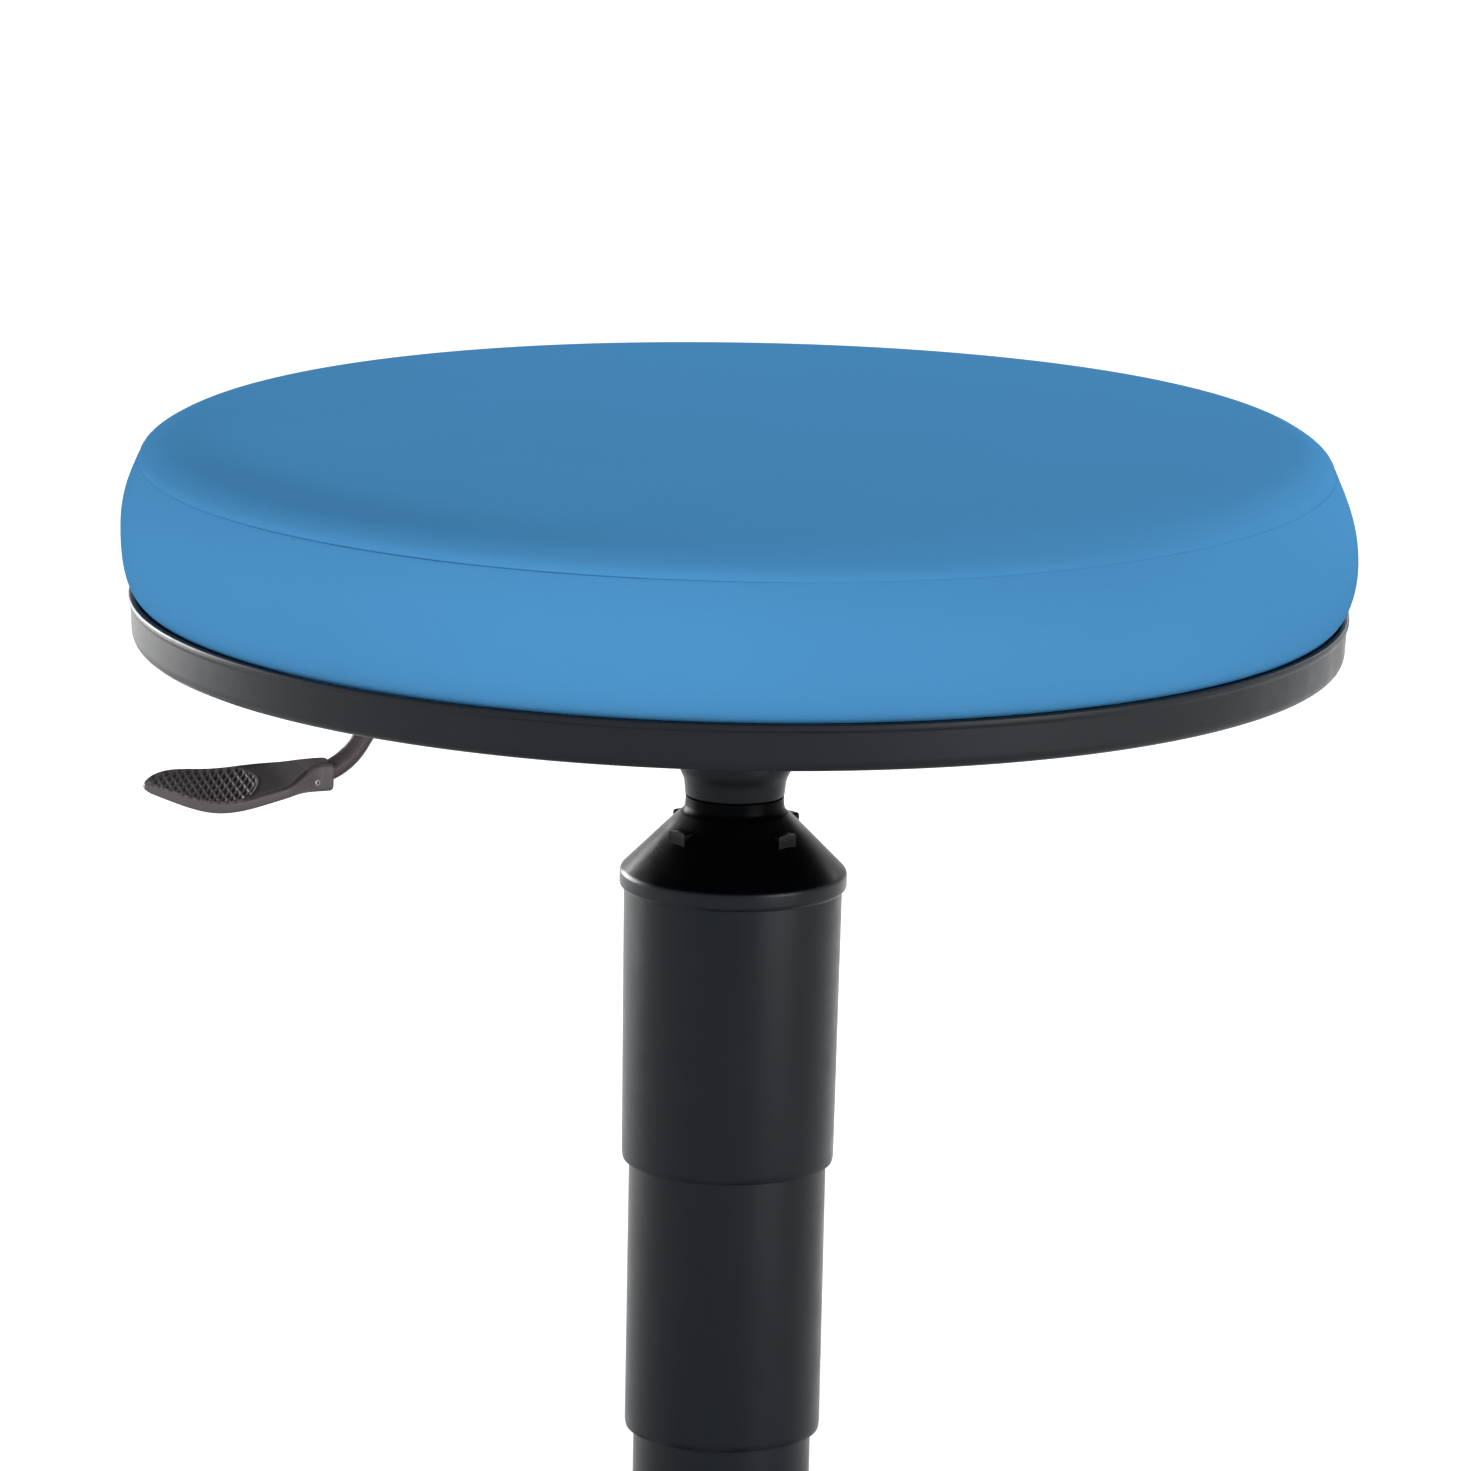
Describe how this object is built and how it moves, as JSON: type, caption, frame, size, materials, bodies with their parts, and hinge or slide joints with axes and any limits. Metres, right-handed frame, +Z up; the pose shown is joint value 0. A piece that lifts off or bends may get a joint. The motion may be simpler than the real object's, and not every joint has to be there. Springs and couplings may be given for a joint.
{
  "type": "lab stool",
  "caption": "Height-adjustable swivel stool with a round upholstered seat, lever-operated gas spring, telescopic column cover and castor base.",
  "frame": {"origin": "on the floor, on the column's vertical axis", "axes": "+Z up along the column; -X is the side of the height lever"},
  "size_m": [0.5857, 0.5791, 0.5174],
  "materials": {
    "seat_vinyl": "satin, fine grained vinyl",
    "foam": "open cell foam",
    "plywood": "raw birch plywood",
    "tray_plastic": "satin moulded",
    "tube_plastic": "satin moulded",
    "cap_plastic": "matte moulded",
    "base_plastic": "fine textured nylon",
    "castor_plastic": "satin nylon",
    "wheel_plastic": "nylon with a soft tread",
    "grip_plastic": "satin with a diamond pattern",
    "bush_plastic": "moulded acetal",
    "black_steel": "semi gloss black powder coat",
    "lever_steel": "dark satin",
    "bright_steel": "zinc plated",
    "chrome_rod": "hard chromed",
    "bumper_rubber": "matte rubber"
  },
  "bodies": {
    "base": {"star_base": "base_plastic", "taper_sleeve": "bright_steel", "stand_tube": "black_steel", "guide_bush": "bush_plastic", "bearing_lower_race": "bright_steel", "cover_tube_lower": "tube_plastic"},
    "bearing": {"bearing_balls": "bright_steel", "bearing_cage": "bush_plastic"},
    "rod": {"piston_rod": "chrome_rod", "piston": "bright_steel", "bearing_upper_race": "bright_steel", "rod_bumper": "bumper_rubber", "retaining_clip": "bright_steel"},
    "seat": {"cover_top_panel": "seat_vinyl", "cover_side_band": "seat_vinyl", "foam_pad": "foam", "seat_board": "plywood", "tee_nuts": "bright_steel", "cover_staples": "bright_steel", "seat_tray": "tray_plastic", "seat_plate": "black_steel", "taper_socket": "black_steel", "plate_bolts": "bright_steel", "lever_bracket": "bright_steel", "pressure_cylinder": "black_steel", "valve_block": "bright_steel", "rod_guide": "bush_plastic", "cover_cap": "cap_plastic", "cover_tube_upper": "tube_plastic"},
    "lever": {"lever_rod": "lever_steel", "lever_trunnion": "bush_plastic", "lever_grip": "grip_plastic", "grip_screw": "bright_steel"},
    "valve": {"valve_pin": "bright_steel"},
    "cover_middle": {"cover_tube_middle": "tube_plastic"},
    "castor_1": {"castor_1_housing": "castor_plastic", "castor_1_stem": "bright_steel", "castor_1_axle": "bright_steel"},
    "castor_1_left": {"castor_1_wheel_left": "wheel_plastic"},
    "castor_1_right": {"castor_1_wheel_right": "wheel_plastic"},
    "castor_2": {"castor_2_housing": "castor_plastic", "castor_2_stem": "bright_steel", "castor_2_axle": "bright_steel"},
    "castor_2_left": {"castor_2_wheel_left": "wheel_plastic"},
    "castor_2_right": {"castor_2_wheel_right": "wheel_plastic"},
    "castor_3": {"castor_3_housing": "castor_plastic", "castor_3_stem": "bright_steel", "castor_3_axle": "bright_steel"},
    "castor_3_left": {"castor_3_wheel_left": "wheel_plastic"},
    "castor_3_right": {"castor_3_wheel_right": "wheel_plastic"},
    "castor_4": {"castor_4_housing": "castor_plastic", "castor_4_stem": "bright_steel", "castor_4_axle": "bright_steel"},
    "castor_4_left": {"castor_4_wheel_left": "wheel_plastic"},
    "castor_4_right": {"castor_4_wheel_right": "wheel_plastic"},
    "castor_5": {"castor_5_housing": "castor_plastic", "castor_5_stem": "bright_steel", "castor_5_axle": "bright_steel"},
    "castor_5_left": {"castor_5_wheel_left": "wheel_plastic"},
    "castor_5_right": {"castor_5_wheel_right": "wheel_plastic"}
  },
  "joints": [
    {"name": "seat_swivel", "type": "hinge", "parent": "base", "child": "rod", "pos_m": [0, 0, 0.05], "axis": [0, 0, 1], "continuous": true},
    {"name": "bearing_spin", "type": "hinge", "parent": "base", "child": "bearing", "pos_m": [0, 0, 0.05], "axis": [0, 0, 1], "continuous": true},
    {"name": "seat_lift", "type": "slide", "parent": "rod", "child": "seat", "axis": [0, 0, 1], "range_m": [-0.14, 0]},
    {"name": "cover_middle_slide", "type": "slide", "parent": "base", "child": "cover_middle", "axis": [0, 0, 1], "range_m": [-0.064, 0]},
    {"name": "lever_lift", "type": "hinge", "parent": "seat", "child": "lever", "pos_m": [-0.042, 0, 0.437], "axis": [0, 1, 0], "range_deg": [0, 5.45], "stiffness_Nm_per_rad": 10},
    {"name": "valve_press", "type": "slide", "parent": "seat", "child": "valve", "axis": [0, 0, -1], "range_m": [0, 0.004]},
    {"name": "castor_1_swivel", "type": "hinge", "parent": "base", "child": "castor_1", "pos_m": [0, -0.27, 0.06], "axis": [0, 0, 1], "continuous": true},
    {"name": "castor_1_left_roll", "type": "hinge", "parent": "castor_1", "child": "castor_1_left", "pos_m": [0.01973, -0.27718, 0.025], "axis": [0.342, 0.9397, 0], "continuous": true},
    {"name": "castor_1_right_roll", "type": "hinge", "parent": "castor_1", "child": "castor_1_right", "pos_m": [0.01973, -0.27718, 0.025], "axis": [0.342, 0.9397, 0], "continuous": true},
    {"name": "castor_2_swivel", "type": "hinge", "parent": "base", "child": "castor_2", "pos_m": [0.25678, -0.08343, 0.06], "axis": [0, 0, 1], "continuous": true},
    {"name": "castor_2_left_roll", "type": "hinge", "parent": "castor_2", "child": "castor_2_left", "pos_m": [0.26971, -0.06689, 0.025], "axis": [-0.788, 0.6157, 0], "continuous": true},
    {"name": "castor_2_right_roll", "type": "hinge", "parent": "castor_2", "child": "castor_2_right", "pos_m": [0.26971, -0.06689, 0.025], "axis": [-0.788, 0.6157, 0], "continuous": true},
    {"name": "castor_3_swivel", "type": "hinge", "parent": "base", "child": "castor_3", "pos_m": [0.1587, 0.21843, 0.06], "axis": [0, 0, 1], "continuous": true},
    {"name": "castor_3_left_roll", "type": "hinge", "parent": "castor_3", "child": "castor_3_left", "pos_m": [0.14696, 0.23584, 0.025], "axis": [-0.829, -0.5592, 0], "continuous": true},
    {"name": "castor_3_right_roll", "type": "hinge", "parent": "castor_3", "child": "castor_3_right", "pos_m": [0.14696, 0.23584, 0.025], "axis": [-0.829, -0.5592, 0], "continuous": true},
    {"name": "castor_4_swivel", "type": "hinge", "parent": "base", "child": "castor_4", "pos_m": [-0.1587, 0.21843, 0.06], "axis": [0, 0, 1], "continuous": true},
    {"name": "castor_4_left_roll", "type": "hinge", "parent": "castor_4", "child": "castor_4_left", "pos_m": [-0.17889, 0.21265, 0.025], "axis": [0.2756, -0.9613, 0], "continuous": true},
    {"name": "castor_4_right_roll", "type": "hinge", "parent": "castor_4", "child": "castor_4_right", "pos_m": [-0.17889, 0.21265, 0.025], "axis": [0.2756, -0.9613, 0], "continuous": true},
    {"name": "castor_5_swivel", "type": "hinge", "parent": "base", "child": "castor_5", "pos_m": [-0.25678, -0.08343, 0.06], "axis": [0, 0, 1], "continuous": true},
    {"name": "castor_5_left_roll", "type": "hinge", "parent": "castor_5", "child": "castor_5_left", "pos_m": [-0.25752, -0.10442, 0.025], "axis": [0.9994, -0.0349, 0], "continuous": true},
    {"name": "castor_5_right_roll", "type": "hinge", "parent": "castor_5", "child": "castor_5_right", "pos_m": [-0.25752, -0.10442, 0.025], "axis": [0.9994, -0.0349, 0], "continuous": true}
  ],
  "couplings": [
    {"joint": "bearing_spin", "follows": "seat_swivel", "ratio": 0.5},
    {"joint": "cover_middle_slide", "follows": "seat_lift", "ratio": 0.457},
    {"joint": "valve_press", "follows": "lever_lift", "m_per_rad": 0.042}
  ]
}
